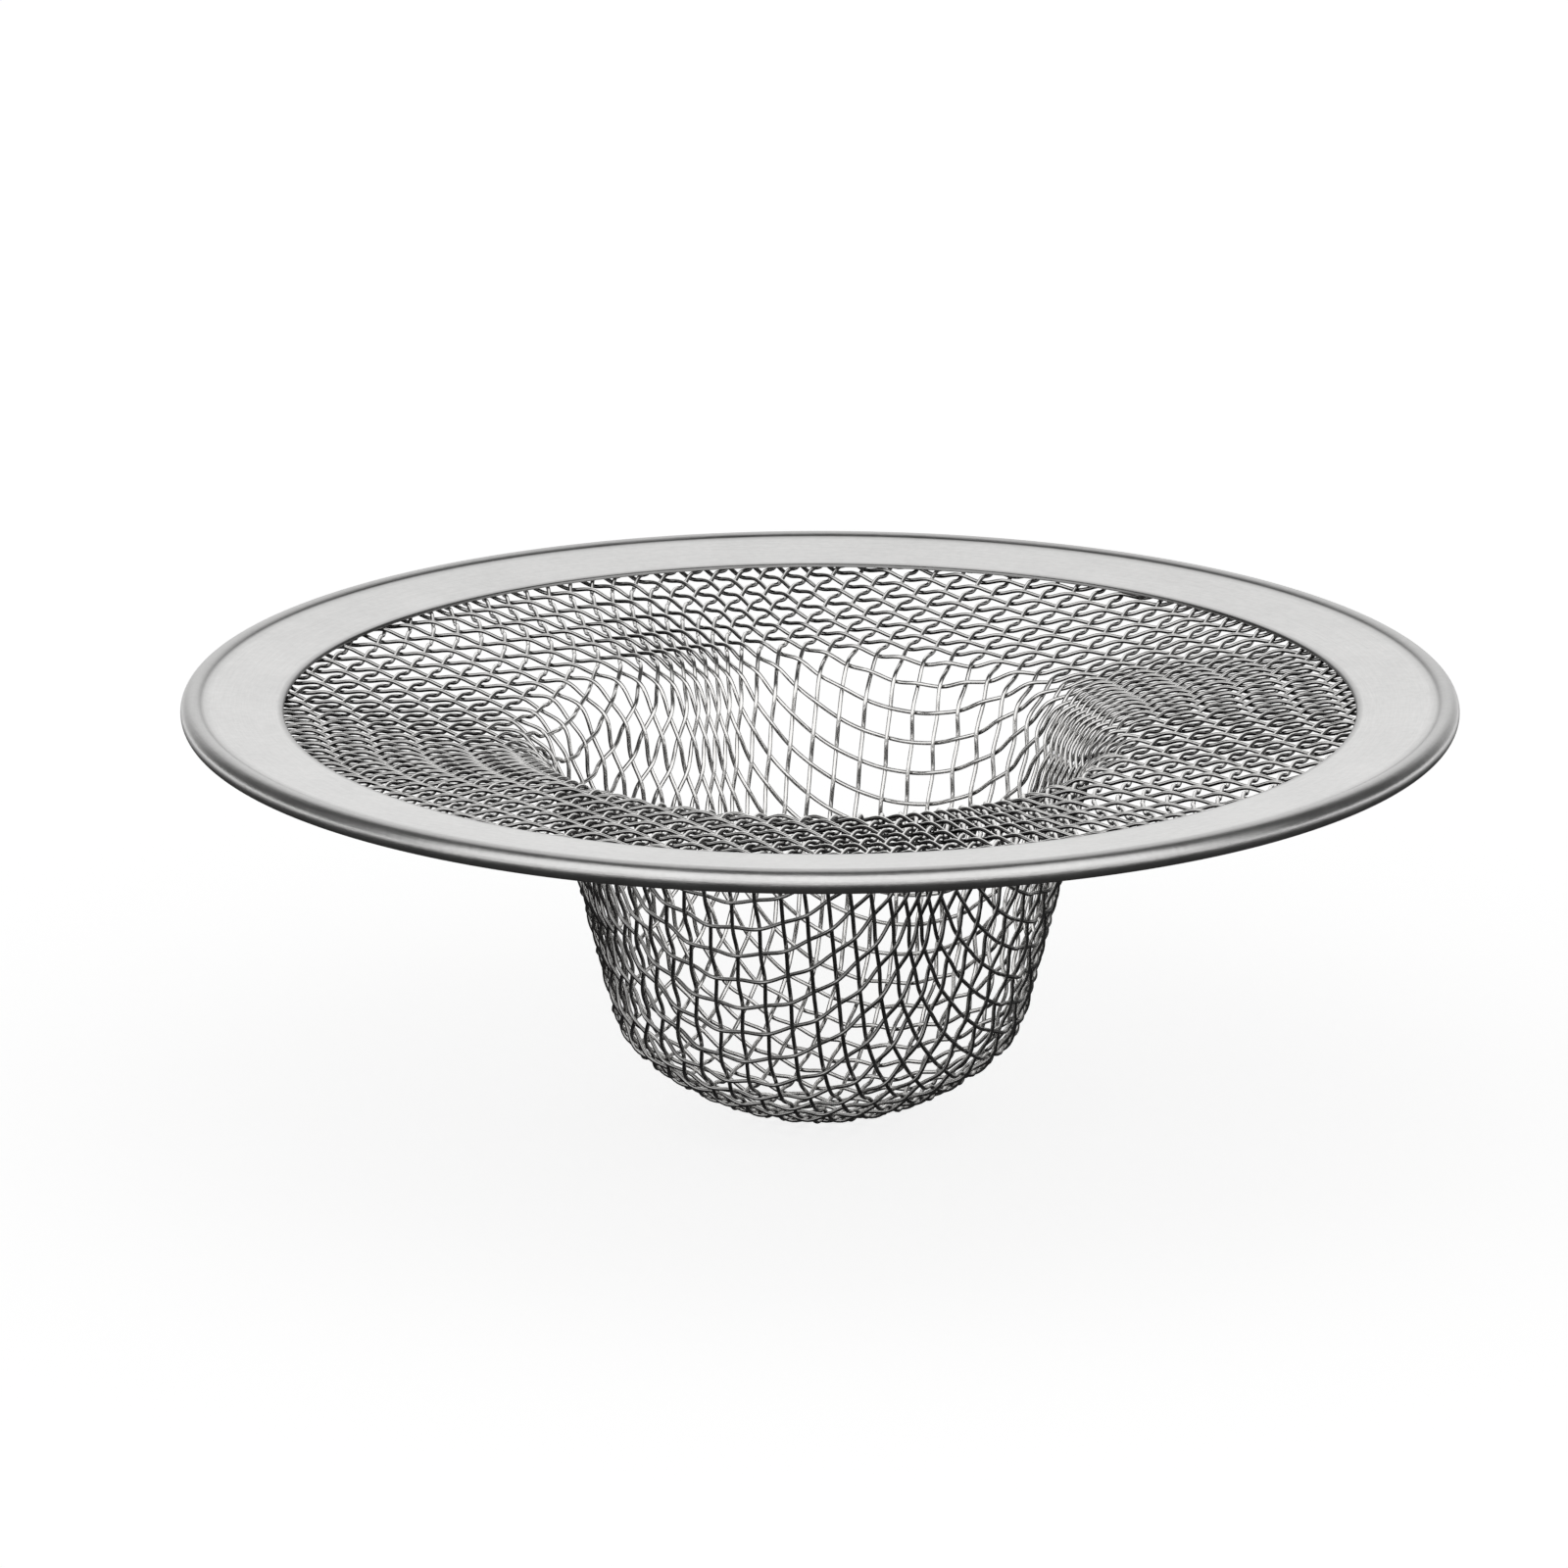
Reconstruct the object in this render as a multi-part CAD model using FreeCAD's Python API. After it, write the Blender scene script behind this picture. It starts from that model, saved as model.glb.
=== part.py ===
import FreeCAD, Part
import math
import os

from FreeCAD import Vector

# Sink strainer: a disc of woven wire cloth pressed into a basket, with its edge hemmed in a sheet ring.
# Millimetres, +Z up. The origin is on the axis, level with the lowest wire of the basket.

# Overall sizes
overall_height = 23.8
rim_outer_diameter = 70.0

# Rim ring: one strip folded over the cloth's edge, rolled to a hollow bead round the outside
rim_opening_diameter = 58.7
lower_leaf_diameter = 64.0
sheet_thickness = 0.3
upper_edge_round = 0.2
lower_edge_round = 0.15

# Wire cloth
wire_diameter = 0.23
wire_pitch = 1.41
crossing_gap = 0.05
clamp_clearance = 0.02
cut_edge_margin = 0.5

# The press takes this share of each height out of the cloth's drape, and stretches the wires for the rest
drape_share = 0.83

# Pressed shape, measured on the middle of the cloth. The basket's top is where wall and flange would meet.
# The flange and the rim's upper leaf lie along one shallow cone.
basket_top_diameter = 30.3
flare_radius = 3.5
corner_radius = 4.7
flange_slope = math.radians(5.0)
wall_taper = math.radians(14.3)
dome_half_angle = math.radians(41.0)

# Limits of the calculation: a path that turns less than this is straight, and a place is found by halving
straight_turn = 1e-4
halvings = 60

# Wires on both sides of the middle are exported in this many bands for each direction
bands = 15

# Each wire goes over and under the ones it crosses. The cloth is clamped between the two leaves of the rim
crimp_height = (wire_diameter + crossing_gap) / 2
half_cloth = crimp_height + wire_diameter / 2
clamp_gap = 2 * (half_cloth + clamp_clearance)
floor_height = half_cloth

# Bead: its hollow is the one with which the sloped upper leaf just clamps the cloth at the lower leaf's edge
clamp_radius = lower_leaf_diameter / 2
clamp_width = rim_outer_diameter / 2 - sheet_thickness - clamp_radius
hollow_radius = (clamp_gap + clamp_width * math.sin(flange_slope)) / (
    1 + math.cos(flange_slope) + math.sin(flange_slope)
)
bead_radius = hollow_radius + sheet_thickness
bead_centre_radius = rim_outer_diameter / 2 - bead_radius
bead_centre_height = overall_height - bead_radius
lower_leaf_bottom = bead_centre_height - bead_radius
lower_leaf_top = bead_centre_height - hollow_radius
clamp_height = lower_leaf_top + clamp_gap / 2 / math.cos(flange_slope)
cut_radius = bead_centre_radius - cut_edge_margin

# Flare between the flange and the wall
basket_top_radius = basket_top_diameter / 2
basket_top_height = clamp_height - math.tan(flange_slope) * (clamp_radius - basket_top_radius)
flare_tangent = flare_radius * math.tan((math.pi / 2 - wall_taper - flange_slope) / 2)
wall_outer_radius = basket_top_radius - flare_tangent * math.sin(wall_taper)
flare_outer_radius = basket_top_radius + flare_tangent * math.cos(flange_slope)
flare_outer_height = basket_top_height + flare_tangent * math.sin(flange_slope)
flare_centre_radius = flare_outer_radius + flare_radius * math.sin(flange_slope)
flare_centre_height = flare_outer_height - flare_radius * math.cos(flange_slope)

# Domed floor: the dome's radius is the one that meets the corner's arc and the wall without a kink
wall_lean = math.tan(wall_taper)
wall_at_floor = basket_top_radius - wall_lean * (basket_top_height - floor_height)
corner_reach = corner_radius * (
    math.sin(dome_half_angle) + wall_lean * math.cos(dome_half_angle) - 1 / math.cos(wall_taper)
)
dome_radius = (wall_at_floor + corner_reach) / (
    math.sin(dome_half_angle) - wall_lean * (1 - math.cos(dome_half_angle))
)
dome_centre_height = floor_height + dome_radius
dome_outer_radius = dome_radius * math.sin(dome_half_angle)
corner_centre_radius = (dome_radius - corner_radius) * math.sin(dome_half_angle)
corner_centre_height = dome_centre_height - (dome_radius - corner_radius) * math.cos(dome_half_angle)
corner_outer_radius = corner_centre_radius + corner_radius * math.cos(wall_taper)


def arc_height(radius, centre_radius, centre_height, arc_radius, side):
    """Height and slope of an arc of the profile, above (side 1) or below (side -1) its centre."""
    across = radius - centre_radius
    rise = math.sqrt(arc_radius**2 - across**2)
    return centre_height + side * rise, -side * across / rise


def line_height(radius, through_radius, through_height, slope):
    """Height and slope of a straight stretch of the profile."""
    return through_height + slope * (radius - through_radius), slope


def cloth_profile(radius):
    """Height and slope of the middle of the cloth at a distance from the axis."""
    if radius < dome_outer_radius:
        return arc_height(radius, 0, dome_centre_height, dome_radius, -1)
    if radius < corner_outer_radius:
        return arc_height(radius, corner_centre_radius, corner_centre_height, corner_radius, -1)
    if radius < wall_outer_radius:
        return line_height(radius, basket_top_radius, basket_top_height, 1 / wall_lean)
    if radius < flare_outer_radius:
        return arc_height(radius, flare_centre_radius, flare_centre_height, flare_radius, 1)
    return line_height(radius, basket_top_radius, basket_top_height, math.tan(flange_slope))


def cloth_point(x, y):
    return Vector(x, y, cloth_profile(math.hypot(x, y))[0])


def draped_point(x, y):
    """The place of a point of the cloth when it is draped, before the press stretches it."""
    return Vector(x, y, cloth_profile(math.hypot(x, y))[0] * drape_share)


def cloth_normal(point):
    """Unit normal of the cloth at a point, towards the inside of the basket."""
    radius = math.hypot(point.x, point.y)
    if radius == 0:
        return Vector(0, 0, 1)
    slope = cloth_profile(radius)[1]
    normal = Vector(-slope * point.x / radius, -slope * point.y / radius, 1)
    return normal.normalize()


def halve(test, low, high):
    """The place between low and high where test turns from false to true."""
    for _ in range(halvings):
        middle = (low + high) / 2
        if test(middle):
            high = middle
        else:
            low = middle
    return (low + high) / 2


def next_on_middle_wire(point):
    """The crossing one pitch further out on the wire that runs over the axis along X, on the draped cloth."""

    def far_enough(x):
        return point.distanceToPoint(draped_point(x, 0)) > wire_pitch

    return draped_point(halve(far_enough, point.x, point.x + wire_pitch), 0)


def next_in_cell(inner, one, other):
    """The fourth crossing of a cell: on the draped cloth, one pitch from the crossings on either side."""
    middle = (one + other) / 2
    outward = (middle - inner).normalize()
    upward = outward.cross(other - one).normalize()
    if upward.z < 0:
        upward = -upward
    reach = math.sqrt(wire_pitch**2 - one.distanceToPoint(middle) ** 2)

    def place(turn):
        return middle + outward * (reach * math.cos(turn)) + upward * (reach * math.sin(turn))

    def above_cloth(turn):
        point = place(turn)
        return point.z > draped_point(point.x, point.y).z

    return place(halve(above_cloth, -math.pi / 2, math.pi / 2))


def quarter_of_crossings():
    """The crossings with both counts from zero up, keyed by those counts, out to the cloth's cut edge."""
    found = {(0, 0): draped_point(0, 0)}
    count = 0
    point = next_on_middle_wire(found[0, 0])
    while point.x <= cut_radius:
        count += 1
        found[count, 0] = point
        found[0, count] = Vector(point.y, point.x, point.z)
        point = next_on_middle_wire(point)
    for i in range(1, count + 1):
        for j in range(1, count + 1):
            if (i - 1, j) in found and (i, j - 1) in found:
                point = next_in_cell(found[i - 1, j - 1], found[i, j - 1], found[i - 1, j])
                if math.hypot(point.x, point.y) <= cut_radius:
                    found[i, j] = point
    return {counts: cloth_point(point.x, point.y) for counts, point in found.items()}


def crossings_of_wire(quarter, index):
    """The crossings along the wire that runs along Y, index wires from the middle one, end to end."""
    reach = max(j for i, j in quarter if i == abs(index))
    row = []
    for j in range(-reach, reach + 1):
        point = quarter[abs(index), abs(j)]
        row.append(Vector(math.copysign(point.x, index), math.copysign(point.y, j), point.z))
    return row


def headings(row):
    """Unit directions of a wire at its crossings, lying in the cloth."""
    result = []
    for k, point in enumerate(row):
        along = row[min(k + 1, len(row) - 1)] - row[max(k - 1, 0)]
        normal = cloth_normal(point)
        result.append((along - normal * along.dot(normal)).normalize())
    return result


def arc_from(start, direction, end):
    """An arc that leaves start along direction and ends at end, or a line where it hardly turns."""
    chord = end - start
    across = chord - direction * chord.dot(direction)
    if across.Length < straight_turn * chord.Length:
        return Part.LineSegment(start, end).toShape()
    across.normalize()
    radius = chord.dot(chord) / (2 * chord.dot(across))
    centre = start + across * radius
    outward = ((start + end) / 2 - centre).normalize()
    return Part.Arc(start, centre + outward * radius, end).toShape()


def two_arcs(start, leaving, end, arriving):
    """Two arcs that meet without a kink, from one crossing and direction to another."""
    chord = end - start
    both = leaving + arriving
    spread = 2 * (1 - leaving.dot(arriving))
    root = math.sqrt(chord.dot(both) ** 2 + spread * chord.dot(chord))
    tangent = chord.dot(chord) / (chord.dot(both) + root)
    first_corner = start + leaving * tangent
    second_corner = end - arriving * tangent
    middle = (first_corner + second_corner) / 2
    onward = (second_corner - first_corner).normalize()
    return [arc_from(start, leaving, middle), arc_from(middle, onward, end)]


def wire_solid(row, first_side):
    """One wire, over (1) or under (-1) the cloth's middle at its first crossing and then by turns."""
    directions = headings(row)
    places = []
    side = first_side
    for point in row:
        places.append(point + cloth_normal(point) * (side * crimp_height))
        side = -side
    edges = []
    for k in range(len(row) - 1):
        edges += two_arcs(places[k], directions[k], places[k + 1], directions[k + 1])
    path = Part.Wire(edges)
    section = Part.Wire([Part.Circle(places[0], directions[0], wire_diameter / 2).toShape()])
    return path.makePipeShell([section], True, False)


def swap_axes(row):
    return [Vector(point.y, point.x, point.z) for point in row]


def rim_ring():
    """The folded strip: sloped upper leaf, bead round the outside, level lower leaf under the cloth."""
    opening_radius = rim_opening_diameter / 2
    face_height = bead_radius - upper_edge_round
    leaf_length = (bead_centre_radius - opening_radius - face_height * math.sin(flange_slope)) / math.cos(
        flange_slope
    )
    round_depth_share = 1 - math.cos(math.pi / 4)
    upper_inset = upper_edge_round * round_depth_share
    lower_inset = lower_edge_round * round_depth_share

    def on_leaf(inward, height):
        """A point by its distance inward along the upper leaf and square to it, from the bead's centre."""
        return Vector(
            bead_centre_radius - inward * math.cos(flange_slope) - height * math.sin(flange_slope),
            0,
            bead_centre_height - inward * math.sin(flange_slope) + height * math.cos(flange_slope),
        )

    def at(radius, height):
        return Vector(radius, 0, height)

    upper_start = on_leaf(leaf_length, face_height)
    upper_middle = on_leaf(leaf_length - upper_inset, bead_radius - upper_inset)
    upper_end = on_leaf(leaf_length - upper_edge_round, bead_radius)
    lower_start = at(clamp_radius, lower_leaf_bottom + lower_edge_round)
    lower_middle = at(clamp_radius + lower_inset, lower_leaf_bottom + lower_inset)
    lower_end = at(clamp_radius + lower_edge_round, lower_leaf_bottom)
    bead_start = on_leaf(0, bead_radius)
    hollow_end = on_leaf(0, hollow_radius)
    bead_bottom = at(bead_centre_radius, lower_leaf_bottom)
    hollow_bottom = at(bead_centre_radius, lower_leaf_top)
    upper_lip = on_leaf(leaf_length, hollow_radius)
    lower_lip = at(clamp_radius, lower_leaf_top)
    outline = [
        Part.Arc(upper_start, upper_middle, upper_end),
        Part.LineSegment(upper_end, bead_start),
        Part.Arc(bead_start, at(bead_centre_radius + bead_radius, bead_centre_height), bead_bottom),
        Part.LineSegment(bead_bottom, lower_end),
        Part.Arc(lower_end, lower_middle, lower_start),
        Part.LineSegment(lower_start, lower_lip),
        Part.LineSegment(lower_lip, hollow_bottom),
        Part.Arc(hollow_bottom, at(bead_centre_radius + hollow_radius, bead_centre_height), hollow_end),
        Part.LineSegment(hollow_end, upper_lip),
        Part.LineSegment(upper_lip, upper_start),
    ]
    face = Part.Face(Part.Wire([piece.toShape() for piece in outline]))
    return face.revolve(Vector(0, 0, 0), Vector(0, 0, 1), 360)


def export(name, solids):
    shape = solids[0] if len(solids) == 1 else Part.makeCompound(solids)
    shape.exportStep(os.path.join("parts", name + ".step"))


def export_wires(quarter, family, middle_side, turned):
    """The wires of one direction: the middle one, then bands of wires on both sides of it."""

    def solid(index):
        row = crossings_of_wire(quarter, index)
        first_side = middle_side * (-1) ** (index + len(row) // 2)
        return wire_solid(swap_axes(row) if turned else row, first_side)

    outermost = max(i for i, j in quarter if j == 0 and quarter[i, 0].x < clamp_radius)
    export(family + "_wire_middle", [solid(0)])
    for band in range(bands):
        indices = [i for i in range(1, outermost + 1) if (i - 1) * bands // outermost == band]
        name = f"{family}_wires_band_{band + 1:02d}"
        export(name, [solid(side * i) for i in indices for side in (1, -1)])


os.makedirs("parts", exist_ok=True)
export("rim_ring", [rim_ring()])
crossings = quarter_of_crossings()
export_wires(crossings, "warp", -1, False)
export_wires(crossings, "weft", 1, True)
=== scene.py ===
import math

import bpy
import numpy as np
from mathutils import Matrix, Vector


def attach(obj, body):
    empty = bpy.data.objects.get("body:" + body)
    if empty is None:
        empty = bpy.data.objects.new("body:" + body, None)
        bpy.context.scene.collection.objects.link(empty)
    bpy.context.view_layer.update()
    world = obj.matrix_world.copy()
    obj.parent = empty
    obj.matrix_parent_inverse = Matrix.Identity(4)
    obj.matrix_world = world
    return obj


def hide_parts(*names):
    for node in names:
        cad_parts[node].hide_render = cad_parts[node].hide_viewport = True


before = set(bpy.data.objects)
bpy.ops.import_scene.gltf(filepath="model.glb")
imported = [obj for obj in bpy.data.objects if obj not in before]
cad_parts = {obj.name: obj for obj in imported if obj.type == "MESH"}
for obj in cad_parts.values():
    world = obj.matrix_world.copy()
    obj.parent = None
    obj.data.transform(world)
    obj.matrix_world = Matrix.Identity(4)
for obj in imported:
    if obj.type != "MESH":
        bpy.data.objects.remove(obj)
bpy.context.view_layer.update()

MM = 0.001
SQUARE = math.pi / 2
rng = np.random.default_rng(18)

# Sizes of the cloth in millimetres, as in the CAD
WIRE_RADIUS = 0.115
PITCH = 1.41
CRIMP = 0.14
CUT_RADIUS = 33.823
OPENING_RADIUS = 29.35
CLAMP_RADIUS = 32.0
CLAMP_HEIGHT = 23.022
FLOOR_HEIGHT = 0.255
DRAPE_SHARE = 0.83
BANDS = 15

# Pressed profile of the cloth in millimetres and radians, as in the CAD
BASKET_TOP_RADIUS = 15.15
FLARE_RADIUS = 3.5
CORNER_RADIUS = 4.7
FLANGE_SLOPE = math.radians(5.0)
WALL_TAPER = math.radians(14.3)
DOME_HALF_ANGLE = math.radians(41.0)

# Unevenness of real cloth in millimetres: drift of whole stretches and shift of crossings, eased at the rim
DRIFT = 0.045
DRIFT_ROUNDS = 6
SHIFT = 0.009
EASE_WIDTH = 4.0

# Sizes of the rim in millimetres, as in the CAD, but for the step: the bead stands that much proud of the leaf
BEAD_RADIUS = 0.677
BEAD_CENTRE = (34.323, 23.123)
HOLLOW_RADIUS = 0.377
LIP_ROUND = 0.15
BEAD_STEP = 0.13

# Detail of the meshes, with the leaf's points in multiples of the crease's distance from the bead's middle
HALVINGS = 40
WIRE_STEPS = 6
WIRE_SIDES = 8
RIM_TURNS = 288
UPPER_LIP_POINTS = 7
LEAF_POINTS = (10.0, 3.0, 1.8, 1.3)
BEAD_POINTS = 48
LOWER_LIP_POINTS = 5
HOLLOW_POINTS = 16
SHARP_ANGLE = math.radians(50)

# Painted light and shade on the wires: painted highlights on the flange's tops over painted shade on their
# flanks, and a basket with painted light inside and painted shade outside
BASKET_EDGE_RADIUS = 18.5
BASKET_EDGE_WIDTH = 3.0
INSIDE_PAINTED_LIGHT = 0.98
INSIDE_SHIFT = 0.5
OUTSIDE_PAINTED_SHADE = 0.24
OUTSIDE_KNUCKLE_PAINTED_HIGHLIGHT = 0.42
FLANK_PAINTED_SHADE = 0.05
TOP_PAINTED_HIGHLIGHT_GAIN = 0.87
TOP_START = 0.05
TOP_WIDTH = 0.25
TONE_SPREAD = 0.06
TONE_TEXTURE_SHIFT = 100

# Finish of the steel: colours, the grain's metres per radian, the specks, and by radius in metres painted shade
# at the cut edge and in the crease, and a darker bead top
WIRE_TINT = (1.0, 0.99, 0.975)
WIRE_STRETCH = (0.35, 2.6, 2.6)
SHEET_TINT = (1.0, 0.995, 0.985)
GRAIN_STRETCH = 0.0016
SPECK_SCALE = 150.0
SPECK_SIZE = 0.022
SPECK_CHOICE = 0.72
CUT_EDGE_SPAN = ((OPENING_RADIUS + 0.03) * MM, (OPENING_RADIUS + 0.40) * MM)
CUT_EDGE_PAINTED_SHADE = 0.45
BEAD_SPAN = ((BEAD_CENTRE[0] - 2 * BEAD_RADIUS) * MM, (BEAD_CENTRE[0] + BEAD_RADIUS) * MM)
CREASE_PAINTED_SHADE_AND_DARK_BEAD = ((0.20, 1.0), (0.36, 0.85), (0.45, 0.58), (0.55, 0.74), (0.85, 0.76), (0.95, 1.0))

# Floor, in metres: white to the camera, and in reflections dark near the strainer and white further out
PAPER_COLOUR = (0.62, 0.62, 0.62, 1)
WHITE = (1, 1, 1, 1)
PAPER_ROUGHNESS = 0.9
PAPER_GLOW = 0.75
PAPER_RADIUS = 1.5
PAPER_CORNERS = 64
MIRRORED_SPAN = (0.06, 0.22)
MIRRORED_LEVELS = (0.03, 1.0)

# Light that the steel mirrors: stops from the far side (0) to the camera's (1), then from below (0) to above (1)
FRONT_WALL = (
    ((0.54, 0.0), (0.66, 1.0)),
    ((0.50, 0.0), (0.55, 1.0), (0.94, 1.0), (0.975, 0.0)),
)
BACK_WALL = (
    ((0.0, 1.0), (0.02, 0.85), (0.07, 0.40), (0.16, 0.0)),
    ((0.46, 0.0), (0.50, 1.0), (0.56, 1.0), (0.64, 0.90), (0.94, 0.82), (0.975, 0.0)),
)
DARKEST_WALL = 0.06
PLAIN_LIGHT = 0.42

# Camera fitted to the photograph: it stands at this azimuth, elevation and distance from the rim's top centre
RIM_TOP = 23.8
VIEW_AZIMUTH = math.radians(21.0)
VIEW_ELEVATION = math.radians(15.85)
VIEW_DISTANCE = 1200.0
VIEW_LENS = 503.5
VIEW_SENSOR = 36.0
VIEW_CLIP = (0.1, 10.0)
AIM_RIGHT = -1.971
AIM_UP = -4.837


def profile_pieces():
    """Stretches of the profile from the axis outwards: outer radius, then an arc or a line."""
    lean = math.tan(WALL_TAPER)
    slope = math.tan(FLANGE_SLOPE)
    top = CLAMP_HEIGHT - slope * (CLAMP_RADIUS - BASKET_TOP_RADIUS)
    tangent = FLARE_RADIUS * math.tan((SQUARE - WALL_TAPER - FLANGE_SLOPE) / 2)
    wall_outer = BASKET_TOP_RADIUS - tangent * math.sin(WALL_TAPER)
    flare_outer = BASKET_TOP_RADIUS + tangent * math.cos(FLANGE_SLOPE)
    flare_centre = flare_outer + FLARE_RADIUS * math.sin(FLANGE_SLOPE)
    flare_height = top + tangent * math.sin(FLANGE_SLOPE) - FLARE_RADIUS * math.cos(FLANGE_SLOPE)
    sine, cosine = math.sin(DOME_HALF_ANGLE), math.cos(DOME_HALF_ANGLE)
    wall_at_floor = BASKET_TOP_RADIUS - lean * (top - FLOOR_HEIGHT)
    corner_reach = CORNER_RADIUS * (sine + lean * cosine - 1 / math.cos(WALL_TAPER))
    dome = (wall_at_floor + corner_reach) / (sine - lean * (1 - cosine))
    corner_centre = (dome - CORNER_RADIUS) * sine
    corner_height = FLOOR_HEIGHT + dome - (dome - CORNER_RADIUS) * cosine
    corner_outer = corner_centre + CORNER_RADIUS * math.cos(WALL_TAPER)
    return [
        (dome * sine, "arc", 0, FLOOR_HEIGHT + dome, dome, -1),
        (corner_outer, "arc", corner_centre, corner_height, CORNER_RADIUS, -1),
        (wall_outer, "line", BASKET_TOP_RADIUS, top, 1 / lean),
        (flare_outer, "arc", flare_centre, flare_height, FLARE_RADIUS, 1),
        (math.inf, "line", BASKET_TOP_RADIUS, top, slope),
    ]


PROFILE = profile_pieces()


def cloth_profile(radius):
    """Height and slope of the middle of the cloth at a distance from the axis."""
    for outer, kind, *shape in PROFILE:
        if radius < outer:
            break
    if kind == "line":
        through, height, slope = shape
        return height + slope * (radius - through), slope
    centre, height, arc, side = shape
    across = radius - centre
    rise = math.sqrt(arc**2 - across**2)
    return height + side * rise, -side * across / rise


def cloth_point(x, y, share=1.0):
    """A point of the middle of the cloth, at a share of its height."""
    return Vector((x, y, cloth_profile(math.hypot(x, y))[0] * share))


def draped_point(x, y):
    """The place of a point of the cloth before the press stretches it."""
    return cloth_point(x, y, DRAPE_SHARE)


def cloth_normal(point):
    """Direction square to the cloth at one of its points, upwards."""
    radius = math.hypot(point[0], point[1])
    if radius == 0:
        return Vector((0, 0, 1))
    slope = cloth_profile(radius)[1]
    return Vector((-slope * point[0] / radius, -slope * point[1] / radius, 1)).normalized()


def halve(test, low, high):
    """The place between low and high where test turns from false to true."""
    for _ in range(HALVINGS):
        middle = (low + high) / 2
        low, high = (low, middle) if test(middle) else (middle, high)
    return (low + high) / 2


def next_in_cell(inner, one, other):
    """The fourth crossing of a cell: on the draped cloth, one pitch from the crossings on either side."""
    middle = (one + other) / 2
    outward = (middle - inner).normalized()
    upward = outward.cross(other - one).normalized()
    if upward.z < 0:
        upward = -upward
    reach = math.sqrt(PITCH**2 - (one - middle).length_squared)

    def place(turn):
        return middle + outward * (reach * math.cos(turn)) + upward * (reach * math.sin(turn))

    def above_cloth(turn):
        point = place(turn)
        return point.z > draped_point(point.x, point.y).z

    return place(halve(above_cloth, -SQUARE, SQUARE))


def quarter_net():
    """Crossings of a quarter of the cloth, one pitch apart along both wires before the press, to its edge."""
    found = {(0, 0): draped_point(0, 0)}
    count = 0
    while True:
        last = found[count, 0]
        x = halve(lambda x: (draped_point(x, 0) - last).length > PITCH, last.x, last.x + PITCH)
        if x > CUT_RADIUS:
            break
        count += 1
        found[count, 0] = draped_point(x, 0)
        found[0, count] = Vector((0, x, found[count, 0].z))
    for i in range(1, count + 1):
        for j in range(1, count + 1):
            if (i - 1, j) in found and (i, j - 1) in found:
                point = next_in_cell(found[i - 1, j - 1], found[i, j - 1], found[i - 1, j])
                if math.hypot(point.x, point.y) <= CUT_RADIUS:
                    found[i, j] = point
    return {counts: cloth_point(point.x, point.y) for counts, point in found.items()}, count


def smooth_noise(count, rounds):
    """Seeded noise on the net, averaged with its neighbours and scaled to a spread of one."""
    noise = rng.normal(size=(2 * count + 1, 2 * count + 1, 2))
    for _ in range(rounds):
        noise = np.mean([np.roll(noise, shift, axis) for axis in (0, 1) for shift in (-1, 0, 1)], axis=0)
    return noise / noise.std()


def whole_net():
    """All crossings by their counts along X and Y, with the small unevenness of real cloth inside the rim."""
    quarter, count = quarter_net()
    drift = DRIFT * smooth_noise(count, DRIFT_ROUNDS) + SHIFT * smooth_noise(count, 0)
    net = {}
    for (i, j), point in quarter.items():
        for a in {i, -i}:
            for b in {j, -j}:
                net[a, b] = np.array((math.copysign(point.x, a), math.copysign(point.y, b), point.z))
    uneven = {}
    for (a, b), point in net.items():
        radius = math.hypot(point[0], point[1])
        ease = min(1, max(0, (OPENING_RADIUS - radius) / EASE_WIDTH))
        moved = point.copy()
        for share, (right, up) in zip(drift[a + count, b + count] * ease, ((1, 0), (0, 1))):
            ahead = net.get((a + right, b + up), point)
            behind = net.get((a - right, b - up), point)
            moved += share * (ahead - behind) / np.linalg.norm(ahead - behind)
        moved[2] = cloth_point(moved[0], moved[1]).z
        uneven[a, b] = moved
    return uneven, quarter


def unit(vectors):
    """Vectors of length one in the same directions."""
    return vectors / np.linalg.norm(vectors, axis=1, keepdims=True)


def square_to(vectors, directions):
    """What is left of vectors without their share along directions of length one."""
    return vectors - directions * (vectors * directions).sum(1, keepdims=True)


def crimped_path(row, side):
    """A wire's path over and under a row of crossings, with the cloth's normal and how far over it is."""
    last = len(row) - 1
    normals = np.array([cloth_normal(point) for point in row])
    along = np.array([row[min(k + 1, last)] - row[max(k - 1, 0)] for k in range(len(row))])
    along = unit(square_to(along, normals))
    over = side * (-1.0) ** np.arange(len(row))[:, None]
    places = row + normals * (CRIMP * over)

    t = np.arange(WIRE_STEPS)[None, :, None] / WIRE_STEPS
    start, end = places[:-1, None], places[1:, None]
    length = np.linalg.norm(end - start, axis=2, keepdims=True)
    path = (
        (1 + 2 * t) * (1 - t) ** 2 * start
        + t * (1 - t) ** 2 * length * along[:-1, None]
        + t**2 * (3 - 2 * t) * end
        + t**2 * (t - 1) * length * along[1:, None]
    )

    def all_along(steps, ending):
        return np.vstack([steps.reshape(-1, steps.shape[-1]), ending])

    def between(values):
        return all_along((1 - t) * values[:-1, None] + t * values[1:, None], values[-1])

    return all_along(path, places[-1]), between(normals), between(over)


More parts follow.
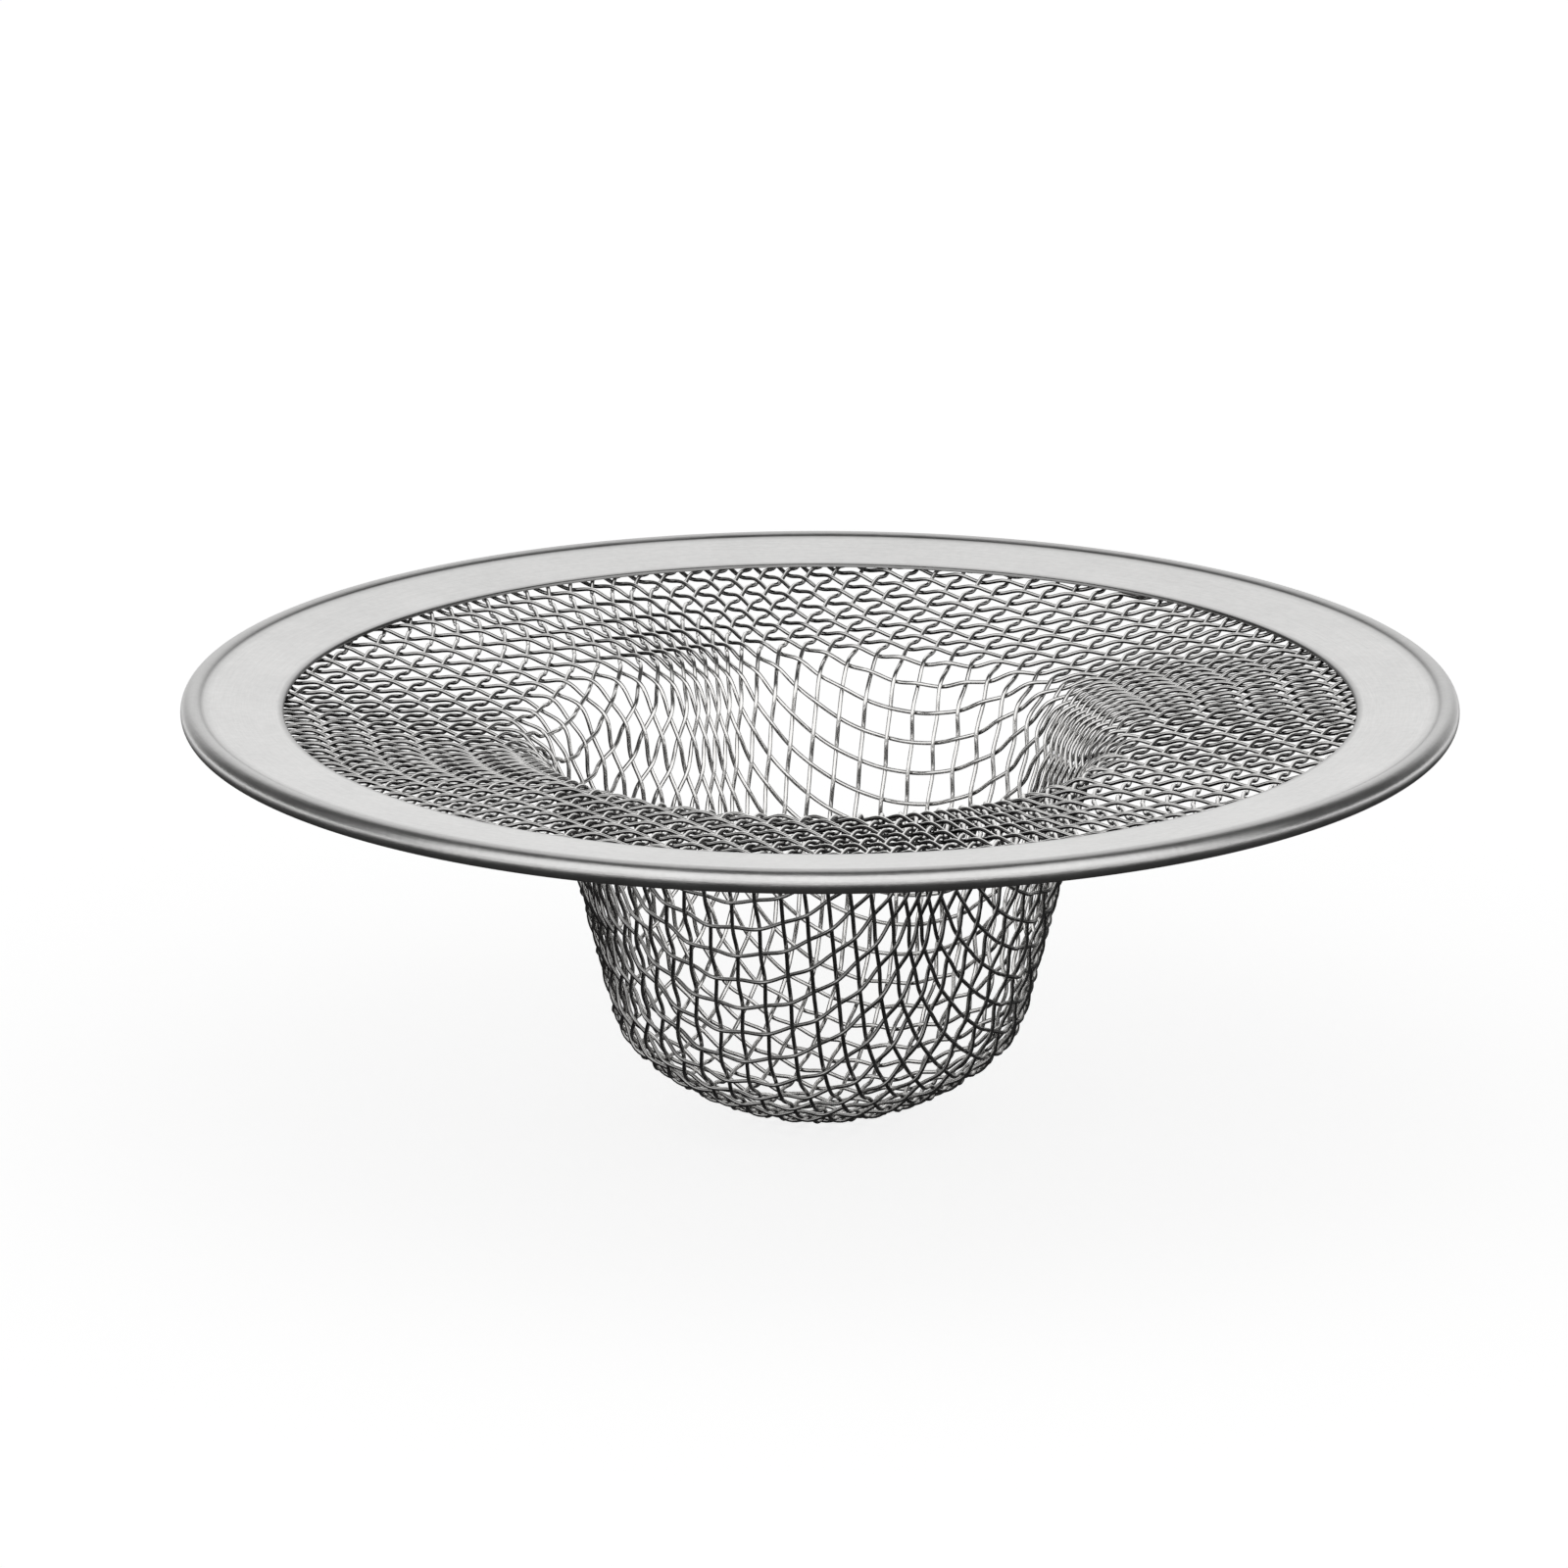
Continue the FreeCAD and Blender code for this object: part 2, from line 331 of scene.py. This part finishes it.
def painted_wire_shade(path, cosine, knuckle):
    """Painted light and shade round a wire, by the cosine of the turn from its upper side."""
    radius = np.hypot(path[:, 0], path[:, 1])[:, None]
    basket = np.clip((BASKET_EDGE_RADIUS - radius) / BASKET_EDGE_WIDTH, 0, 1)
    # Painted highlights where the knuckles bulge out of the basket's outer side
    outside = OUTSIDE_PAINTED_SHADE + OUTSIDE_KNUCKLE_PAINTED_HIGHLIGHT * knuckle
    # Painted light on the basket's inner side and painted shade on its outer side
    on_basket = outside + (INSIDE_PAINTED_LIGHT - outside) * np.clip(INSIDE_SHIFT + cosine, 0, 1)
    # Painted highlights on the flange wires' tops and painted shade on their flanks
    on_flange = FLANK_PAINTED_SHADE + TOP_PAINTED_HIGHLIGHT_GAIN * np.clip((cosine - TOP_START) / TOP_WIDTH, 0, 1)
    return basket * on_basket + (1 - basket) * on_flange


def ring_faces(first, second, count):
    """Faces between closed rings of points, by the numbers of the rings' first points and a ring's count."""
    here = np.arange(count)
    there = np.roll(here, -1)
    corners = [first + here, first + there, second + there, second + here]
    return np.stack(corners, axis=2).reshape(-1, 4).tolist()


def wire_tube(row, side, tone):
    """Points, faces and attributes of one crimped wire along a row of crossings."""
    path, normals, over = crimped_path(np.array(row), side)
    ahead = unit(np.gradient(path, axis=0))
    upward = unit(square_to(normals, ahead))
    sideways = np.cross(ahead, upward)
    turn = 2 * math.pi * np.arange(WIRE_SIDES) / WIRE_SIDES
    cosine, sine = np.cos(turn), np.sin(turn)
    outward = cosine[:, None] * upward[:, None] + sine[:, None] * sideways[:, None]
    points = path[:, None] + WIRE_RADIUS * outward

    run = np.append(0, np.cumsum(np.linalg.norm(np.diff(path, axis=0), axis=1)))
    drawn = np.empty_like(points)
    drawn[..., 0] = run[:, None] + TONE_TEXTURE_SHIFT * tone
    drawn[..., 1] = cosine
    drawn[..., 2] = sine
    knuckle = np.clip(over * cosine, 0, 1) ** 2
    # Painted light and shade round the wire, plus the wire's own random tone
    painted_shade_and_tone = painted_wire_shade(path, cosine, knuckle) + TONE_SPREAD * (tone - 0.5)

    last = (len(path) - 1) * WIRE_SIDES
    first = np.arange(0, last, WIRE_SIDES)[:, None]
    faces = ring_faces(first, first + WIRE_SIDES, WIRE_SIDES)
    faces += [list(range(WIRE_SIDES))[::-1], list(range(last, last + WIRE_SIDES))]
    return points.reshape(-1, 3) * MM, faces, drawn.reshape(-1, 3), knuckle.ravel(), painted_shade_and_tone.ravel()


def add_object(name, data):
    """A new object in the scene."""
    made = bpy.data.objects.new(name, data)
    bpy.context.scene.collection.objects.link(made)
    return made


def add_attribute(mesh, name, kind, field, values):
    """A value for each point of a mesh, for its material to read."""
    attribute = mesh.attributes.new(name, kind, "POINT")
    attribute.data.foreach_set(field, np.ascontiguousarray(values, np.float32).ravel())


def wire_piece(name, tubes, material):
    """One object for the wires of a band."""
    faces, base = [], 0
    for points, tube_faces, *_ in tubes:
        faces += [[base + corner for corner in face] for face in tube_faces]
        base += len(points)
    points, _, drawn, knuckle, painted_shade_and_tone = zip(*tubes)
    mesh = bpy.data.meshes.new(name)
    mesh.from_pydata(np.vstack(points).tolist(), [], faces)
    # The wires' round sides are smooth and their cut ends flat
    mesh.polygons.foreach_set("use_smooth", [len(face) == 4 for face in faces])
    add_attribute(mesh, "drawn", "FLOAT_VECTOR", "vector", np.vstack(drawn))
    add_attribute(mesh, "knuckle", "FLOAT", "value", np.concatenate(knuckle))
    # Each point's painted light and shade, with its wire's tone
    add_attribute(mesh, "painted_shade_and_tone", "FLOAT", "value", np.concatenate(painted_shade_and_tone))
    mesh.materials.append(material)
    mesh.update()
    return add_object(name, mesh)


def rim_outline():
    """Radius and height of points round the rim's section."""
    centre = np.array(BEAD_CENTRE)
    inward = np.array((-math.cos(FLANGE_SLOPE), -math.sin(FLANGE_SLOPE)))
    upward = np.array((-math.sin(FLANGE_SLOPE), math.cos(FLANGE_SLOPE)))
    face = BEAD_RADIUS - BEAD_STEP
    crease = math.sqrt(BEAD_RADIUS**2 - face**2)
    level_length = BEAD_CENTRE[0] - OPENING_RADIUS - (face - LIP_ROUND) * math.sin(FLANGE_SLOPE)
    length = level_length / math.cos(FLANGE_SLOPE)
    tilted = SQUARE + FLANGE_SLOPE

    def leaf(along, height):
        return centre + along * inward + height * upward

    def arc(middle, radius, first, last, count):
        turns = np.linspace(first, last, count)
        return [middle + radius * np.array((math.cos(turn), math.sin(turn))) for turn in turns]

    upper_lip = leaf(length - LIP_ROUND, face - LIP_ROUND)
    lower_lip = np.array((CLAMP_RADIUS + LIP_ROUND, centre[1] - BEAD_RADIUS + LIP_ROUND))
    points = [leaf(length, HOLLOW_RADIUS)]
    points += arc(upper_lip, LIP_ROUND, tilted + SQUARE, tilted, UPPER_LIP_POINTS)
    points += [leaf(share * crease, face) for share in LEAF_POINTS]
    points += arc(centre, BEAD_RADIUS, tilted + math.asin(crease / BEAD_RADIUS), -SQUARE, BEAD_POINTS)
    points += arc(lower_lip, LIP_ROUND, -SQUARE, -2 * SQUARE, LOWER_LIP_POINTS)
    points.append(np.array((CLAMP_RADIUS, centre[1] - HOLLOW_RADIUS)))
    points += arc(centre, HOLLOW_RADIUS, -SQUARE, tilted, HOLLOW_POINTS)
    return np.array(points)


def rim_piece(material):
    """The rim, turned about the axis."""
    outline = rim_outline()
    count = len(outline)
    angle = 2 * math.pi * np.arange(RIM_TURNS) / RIM_TURNS
    points = np.empty((RIM_TURNS, count, 3))
    points[..., 0] = np.cos(angle)[:, None] * outline[:, 0]
    points[..., 1] = np.sin(angle)[:, None] * outline[:, 0]
    points[..., 2] = outline[:, 1]
    first = np.arange(RIM_TURNS)[:, None] * count
    faces = ring_faces(first, np.roll(first, -1, axis=0), count)
    mesh = bpy.data.meshes.new("turned_rim")
    mesh.from_pydata((points.reshape(-1, 3) * MM).tolist(), [], faces)
    mesh.shade_smooth()
    mesh.set_sharp_from_angle(angle=SHARP_ANGLE)
    mesh.materials.append(material)
    return add_object("turned_rim", mesh)


def new_material(name):
    """A material with its node tree and its main shader."""
    material = bpy.data.materials.new(name)
    material.use_nodes = True
    tree = material.node_tree
    return material, tree, tree.nodes["Principled BSDF"]


def set_inputs(tree, made, inputs):
    """Inputs of a node, set to values or linked to sockets."""
    for key, value in inputs.items():
        if isinstance(value, bpy.types.NodeSocket):
            tree.links.new(value, made.inputs[key])
        else:
            made.inputs[key].default_value = value


def node(tree, kind, inputs=None, **settings):
    """A shader node with its settings and inputs."""
    made = tree.nodes.new(kind)
    for key, value in settings.items():
        setattr(made, key, value)
    set_inputs(tree, made, inputs or {})
    return made


def math_node(tree, operation, *values):
    """The result of a sum on sockets and numbers."""
    return node(tree, "ShaderNodeMath", dict(enumerate(values)), operation=operation).outputs[0]


def weighted_sum(tree, start, *terms):
    """A number or socket plus sockets, each times its weight."""
    total = start
    for socket, weight in terms:
        total = math_node(tree, "MULTIPLY_ADD", socket, weight, total)
    return total


def distance_from_axis(tree, x, y):
    """Length of the level part of a place or direction."""
    squares = [math_node(tree, "MULTIPLY", share, share) for share in (x, y)]
    return math_node(tree, "SQRT", math_node(tree, "ADD", *squares))


def point_value(tree, name, socket="Fac"):
    """A value that the mesh has at each point."""
    return node(tree, "ShaderNodeAttribute", attribute_name=name).outputs[socket]


def noise_texture(tree, place, scale, detail):
    """Noise from zero to one."""
    inputs = {"Vector": place, "Scale": scale, "Detail": detail}
    return node(tree, "ShaderNodeTexNoise", inputs).outputs["Fac"]


def map_range(tree, value, span, levels, **settings):
    """A value that goes from one level to another across a span."""
    inputs = {"Value": value, "From Min": span[0], "From Max": span[1], "To Min": levels[0], "To Max": levels[1]}
    return node(tree, "ShaderNodeMapRange", inputs, **settings).outputs[0]


def ramp(tree, factor, *stops):
    """A colour ramp with grey or coloured stops, each a place and a value."""
    made = node(tree, "ShaderNodeValToRGB", {0: factor})
    elements = made.color_ramp.elements
    while len(elements) < len(stops):
        elements.new(0.5)
    for element, (place, colour) in zip(elements, stops):
        element.position = place
        grey = isinstance(colour, (int, float))
        element.color = (colour, colour, colour, 1) if grey else (*colour, 1)
    return made.outputs[0]


def finish_steel(tree, shader, grey, tint, rough, bump):
    """Bare metal: its colour from a grey and the tint of full brightness, its roughness and its bump."""
    colour = ramp(tree, grey, (0.0, 0.0), (1.0, tint))
    normal = node(tree, "ShaderNodeBump", bump).outputs[0]
    set_inputs(tree, shader, {"Base Color": colour, "Roughness": rough, "Normal": normal, "Metallic": 1.0})


def wire_material():
    """Drawn stainless wire: streaks along the wire, a tone for each wire, polished knuckles, and the painted
    light and shade of each point.
    """
    material, tree, shader = new_material("drawn_wire")
    drawn = point_value(tree, "drawn", "Vector")
    knuckle = point_value(tree, "knuckle")
    painted_shade_and_tone = point_value(tree, "painted_shade_and_tone")
    stretched = node(tree, "ShaderNodeMapping", {"Vector": drawn, "Scale": WIRE_STRETCH}).outputs[0]
    streaks = noise_texture(tree, stretched, scale=2.0, detail=4.0)
    blotches = noise_texture(tree, drawn, scale=0.22, detail=2.0)
    uneven = weighted_sum(tree, 0.80, (streaks, 0.30), (blotches, 0.16))
    # Base grey: the painted light and shade with the wire's tone, times the streaks, plus the knuckles' polish
    grey = weighted_sum(tree, math_node(tree, "MULTIPLY", painted_shade_and_tone, uneven), (knuckle, 0.08))
    rough = weighted_sum(tree, 0.04, (streaks, 0.10), (knuckle, -0.02))
    bump = {"Height": streaks, "Strength": 0.25, "Distance": 0.00002}
    finish_steel(tree, shader, grey, WIRE_TINT, rough, bump)
    return material


def specks(tree, place):
    """One on a few small dots, and zero elsewhere."""
    inputs = {"Vector": place, "Scale": SPECK_SCALE, "Randomness": 1.0}
    cells = node(tree, "ShaderNodeTexVoronoi", inputs).outputs
    dot = math_node(tree, "LESS_THAN", cells["Distance"], SPECK_SIZE)
    draw = node(tree, "ShaderNodeSeparateColor", {0: cells["Color"]}).outputs[0]
    return math_node(tree, "MULTIPLY", dot, math_node(tree, "GREATER_THAN", draw, SPECK_CHOICE))


def rim_material():
    """Rolled sheet: grain round the ring, soft mottling, dark specks, painted shade at the cut edge and in the
    crease, and a darker bead top.
    """
    material, tree, shader = new_material("rolled_sheet")
    place = node(tree, "ShaderNodeTexCoord").outputs["Object"]
    x, y, z = node(tree, "ShaderNodeSeparateXYZ", {0: place}).outputs
    radius = distance_from_axis(tree, x, y)
    run = math_node(tree, "MULTIPLY", math_node(tree, "ARCTAN2", y, x), GRAIN_STRETCH)
    round_the_ring = node(tree, "ShaderNodeCombineXYZ", {0: radius, 1: run, 2: z}).outputs[0]
    grain = noise_texture(tree, round_the_ring, scale=9000.0, detail=5.0)
    speckle = noise_texture(tree, place, scale=2600.0, detail=4.0)
    mottle = noise_texture(tree, place, scale=210.0, detail=3.0)
    speck = specks(tree, place)
    # Painted shade along the cut edge of the leaf
    cut_edge_painted_shade = map_range(tree, radius, CUT_EDGE_SPAN, (CUT_EDGE_PAINTED_SHADE, 1.0))
    # Painted shade in the crease, and a darker top of the bead
    crease_painted_shade_and_dark_bead = ramp(tree, map_range(tree, radius, BEAD_SPAN, (0.0, 1.0)), *CREASE_PAINTED_SHADE_AND_DARK_BEAD)
    grey = weighted_sum(tree, 0.50, (grain, 0.20), (mottle, 0.28), (speckle, 0.14), (speck, -0.55))
    grey = math_node(tree, "MULTIPLY", math_node(tree, "MULTIPLY", grey, cut_edge_painted_shade), crease_painted_shade_and_dark_bead)
    rough = weighted_sum(tree, 0.20, (mottle, 0.16), (grain, 0.10))
    bump = {"Height": weighted_sum(tree, speckle, (grain, 0.6)), "Strength": 0.35, "Distance": 0.00003}
    finish_steel(tree, shader, grey, SHEET_TINT, rough, bump)
    return material


def ray_kinds(tree):
    """One for camera rays, then one for these and the rays of reflections and glass. Plain light has zero."""
    path = node(tree, "ShaderNodeLightPath").outputs
    seen = math_node(tree, "MAXIMUM", path["Is Camera Ray"], path["Is Glossy Ray"])
    return path["Is Camera Ray"], math_node(tree, "MAXIMUM", seen, path["Is Transmission Ray"])


def studio_floor():
    """A round pale floor that keeps a faint shadow of the strainer."""
    turns = [2 * math.pi * k / PAPER_CORNERS for k in range(PAPER_CORNERS)]
    ring = [(PAPER_RADIUS * math.cos(turn), PAPER_RADIUS * math.sin(turn), 0) for turn in turns]
    mesh = bpy.data.meshes.new("floor")
    mesh.from_pydata(ring, [], [list(range(PAPER_CORNERS))])
    floor = add_object("floor", mesh)
    material, tree, shader = new_material("floor_paper")
    camera, seen = ray_kinds(tree)
    set_inputs(tree, shader, {
        "Base Color": PAPER_COLOUR,
        "Roughness": PAPER_ROUGHNESS,
        "Specular IOR Level": 0.0,
        "Emission Color": WHITE,
        "Emission Strength": math_node(tree, "MULTIPLY", camera, PAPER_GLOW),
    })
    place = node(tree, "ShaderNodeTexCoord").outputs["Object"]
    distance = node(tree, "ShaderNodeVectorMath", {0: place}, operation="LENGTH").outputs["Value"]
    strength = map_range(tree, distance, MIRRORED_SPAN, MIRRORED_LEVELS, interpolation_type="SMOOTHSTEP")
    mirrored = node(tree, "ShaderNodeEmission", {"Strength": strength}).outputs[0]
    only_mirrored = math_node(tree, "SUBTRACT", seen, camera)
    mixed = node(tree, "ShaderNodeMixShader", {0: only_mirrored, 1: shader.outputs[0], 2: mirrored}).outputs[0]
    set_inputs(tree, tree.nodes["Material Output"], {"Surface": mixed})
    mesh.materials.append(material)


def studio_world():
    """White to the camera, two walls of light with dark between them in reflections, and plain soft light."""
    world = bpy.data.worlds.new("studio")
    bpy.context.scene.world = world
    world.use_nodes = True
    tree = world.node_tree
    camera, seen = ray_kinds(tree)
    direction = node(tree, "ShaderNodeTexCoord").outputs["Generated"]
    x, y, z = node(tree, "ShaderNodeSeparateXYZ", {0: direction}).outputs
    forward = weighted_sum(tree, 0.0, (x, math.sin(VIEW_AZIMUTH)), (y, -math.cos(VIEW_AZIMUTH)))
    forward = math_node(tree, "DIVIDE", forward, distance_from_axis(tree, x, y))
    # From -1 to 1 onto the ramps' scale from 0 to 1
    facing, height = (weighted_sum(tree, 0.5, (share, 0.5)) for share in (forward, z))
    front, back = (
        math_node(tree, "MULTIPLY", ramp(tree, facing, *sideways), ramp(tree, height, *upward))
        for sideways, upward in (FRONT_WALL, BACK_WALL)
    )
    walls = math_node(tree, "MAXIMUM", math_node(tree, "ADD", front, back), DARKEST_WALL)
    mirrored = math_node(tree, "MAXIMUM", camera, walls)
    # Sockets 2 and 3 are the two numbers that this node mixes
    mixed = node(tree, "ShaderNodeMix", {0: seen, 2: PLAIN_LIGHT, 3: mirrored}, data_type="FLOAT").outputs[0]
    set_inputs(tree, tree.nodes["Background"], {"Color": WHITE, "Strength": mixed})


def studio_camera():
    """The photograph's view of the strainer."""
    back = Vector((
        math.sin(VIEW_AZIMUTH) * math.cos(VIEW_ELEVATION),
        -math.cos(VIEW_AZIMUTH) * math.cos(VIEW_ELEVATION),
        math.sin(VIEW_ELEVATION),
    ))
    right = Vector((math.cos(VIEW_AZIMUTH), math.sin(VIEW_AZIMUTH), 0))
    up = back.cross(right)
    data = bpy.data.cameras.new("camera")
    data.sensor_width = VIEW_SENSOR
    data.lens = VIEW_LENS
    data.clip_start, data.clip_end = VIEW_CLIP
    camera = add_object("camera", data)
    place = Vector((0, 0, RIM_TOP)) + back * VIEW_DISTANCE + right * AIM_RIGHT + up * AIM_UP
    camera.location = place * MM
    camera.rotation_mode = "QUATERNION"
    camera.rotation_quaternion = back.to_track_quat("Z", "Y")
    bpy.context.scene.camera = camera


def weave(material):
    """The cloth's wires, band by band as in the CAD, along Y (warp) and along X (weft)."""
    net, quarter = whole_net()
    outermost = max(i for i, j in quarter if j == 0 and quarter[i, 0].x < CLAMP_RADIUS)
    reach = {i: max(j for a, j in quarter if a == i) for i in range(outermost + 1)}

    def tube(family, index):
        far = reach[abs(index)]
        keys = [(index, j) if family == "warp" else (j, index) for j in range(-far, far + 1)]
        side = (-1 if family == "warp" else 1) * (-1) ** (index + far)
        return wire_tube([net[key] for key in keys], side, rng.random())

    for family in ("warp", "weft"):
        groups = {f"{family}_wire_middle": [0]}
        for band in range(BANDS):
            indices = [i for i in range(1, outermost + 1) if (i - 1) * BANDS // outermost == band]
            groups[f"{family}_wires_band_{band + 1:02d}"] = [side * i for i in indices for side in (1, -1)]
        for name, indices in groups.items():
            piece = wire_piece("woven_" + name, [tube(family, i) for i in indices], material)
            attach(piece, "root")
            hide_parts(name)


weave(wire_material())
rim = rim_piece(rim_material())
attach(rim, "root")
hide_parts("rim_ring")
studio_floor()
studio_world()
studio_camera()
bpy.context.scene.view_settings.view_transform = "Standard"
